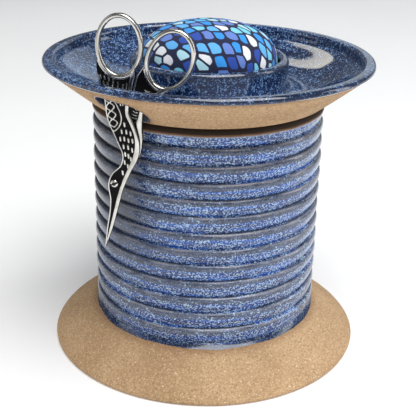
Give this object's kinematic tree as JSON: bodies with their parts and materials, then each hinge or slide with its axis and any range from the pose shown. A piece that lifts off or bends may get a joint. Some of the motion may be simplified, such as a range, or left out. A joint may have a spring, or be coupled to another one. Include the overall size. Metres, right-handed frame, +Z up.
{
  "type": "thread spool sewing caddy",
  "caption": "Ribbed stoneware jar shaped like a thread spool, with a lift-off dish lid, a round pincushion and stork embroidery scissors hung in a slot.",
  "frame": {"origin": "centre of the foot's underside, on the spool's axis", "axes": "+Z up along the spool's axis, -Y towards the side that the scissor slot is nearer to, +X to its right"},
  "size_m": [0.17, 0.17, 0.1878],
  "materials": {
    "jar_stoneware": "floating blue glaze over throwing ribs, bare sandy clay foot and rim",
    "lid_stoneware": "glossy mottled navy glaze inside, bare sandy clay cone outside",
    "printed_cotton": "cotton printed with pebble shapes in blues and white",
    "wadding": "loose fibre",
    "base_card": "matte card",
    "gathering_thread": "twisted cotton thread",
    "antiqued_steel": "polished edges with blackened recesses",
    "screw_steel": "polished"
  },
  "bodies": {
    "jar": {"spool_jar": "jar_stoneware"},
    "lid": {"dish_lid": "lid_stoneware", "pincushion_cover": "printed_cotton", "pincushion_stuffing": "wadding", "pincushion_base_card": "base_card", "pincushion_gathering_thread": "gathering_thread"},
    "scissor_back": {"scissor_back_half": "antiqued_steel", "scissor_pivot_screw": "screw_steel"},
    "scissor_front": {"scissor_front_half": "antiqued_steel"}
  },
  "joints": [
    {"name": "lid_lift", "type": "slide", "parent": "jar", "child": "lid", "axis": [0, 0, 1], "range_m": [0, 0.12]},
    {"name": "scissors_lift", "type": "slide", "parent": "lid", "child": "scissor_back", "axis": [0, 0, 1], "range_m": [0, 0.16]},
    {"name": "scissors_open", "type": "hinge", "parent": "scissor_back", "child": "scissor_front", "pos_m": [-0.04366, -0.05488, 0.10676], "axis": [-0.2159, -0.9764, 0], "range_deg": [0, 45]}
  ],
  "couplings": [
    {"joint": "scissors_open", "follows": "scissors_lift", "rad_per_m": 4.3633}
  ]
}
